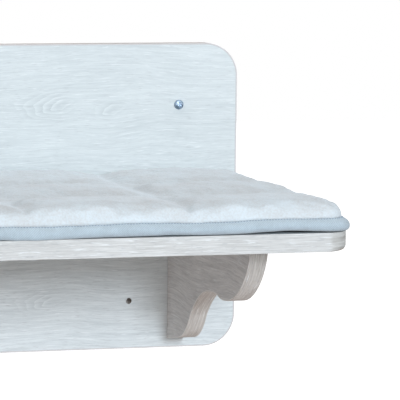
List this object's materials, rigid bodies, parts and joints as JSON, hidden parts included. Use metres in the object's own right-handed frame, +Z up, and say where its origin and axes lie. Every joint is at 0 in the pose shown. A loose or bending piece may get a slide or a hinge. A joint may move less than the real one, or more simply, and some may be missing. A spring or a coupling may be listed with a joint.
{
  "type": "wall-mounted cat bed",
  "caption": "Wall-mounted cat bed: a washed-oak back board with rounded corners, a shelf on scalloped brackets and a loose quilted plush cushion with a woven border.",
  "frame": {"origin": "centre of the back board's rear face, where the bed meets the wall", "axes": "+X along the shelf, to the right as seen from in front; +Y into the wall; +Z up"},
  "size_m": [0.5606, 0.3776, 0.28],
  "materials": {
    "laminate": "matt melamine laminate with a bleached oak grain, cool white",
    "edging": "matt edge banding with a printed grain, warm grey-white",
    "zinc_steel": "zinc-plated, slightly blue, satin",
    "nylon": "moulded nylon, matt grey",
    "beech": "raw turned beech",
    "plush": "short-pile plush, pale blue-grey",
    "twill": "woven twill, light blue-grey",
    "wadding": "white polyester wadding"
  },
  "bodies": {
    "wall_unit": {"back_board": "laminate", "back_board_edging": "edging", "shelf_board": "laminate", "shelf_edging": "edging", "bracket_left": "laminate", "bracket_left_edging": "edging", "bracket_right": "laminate", "bracket_right_edging": "edging", "wall_screw_left": "zinc_steel", "wall_screw_right": "zinc_steel", "wall_plug_left": "nylon", "wall_plug_right": "nylon", "shelf_screw_1": "zinc_steel", "shelf_screw_2": "zinc_steel", "shelf_screw_3": "zinc_steel", "shelf_screw_4": "zinc_steel", "bracket_left_upper_screw": "zinc_steel", "bracket_left_lower_screw": "zinc_steel", "bracket_right_upper_screw": "zinc_steel", "bracket_right_lower_screw": "zinc_steel", "shelf_dowel_1": "beech", "shelf_dowel_2": "beech", "shelf_dowel_3": "beech", "bracket_left_rear_dowel": "beech", "bracket_left_front_dowel": "beech", "bracket_right_rear_dowel": "beech", "bracket_right_front_dowel": "beech"},
    "cushion": {"cushion_woven_base": "twill", "cushion_filling": "wadding", "cushion_plush_top": "plush"}
  },
  "joints": [
    {"name": "cushion_lift", "type": "slide", "parent": "wall_unit", "child": "cushion", "axis": [0, 0, 1], "range_m": [0, 0.12]}
  ]
}
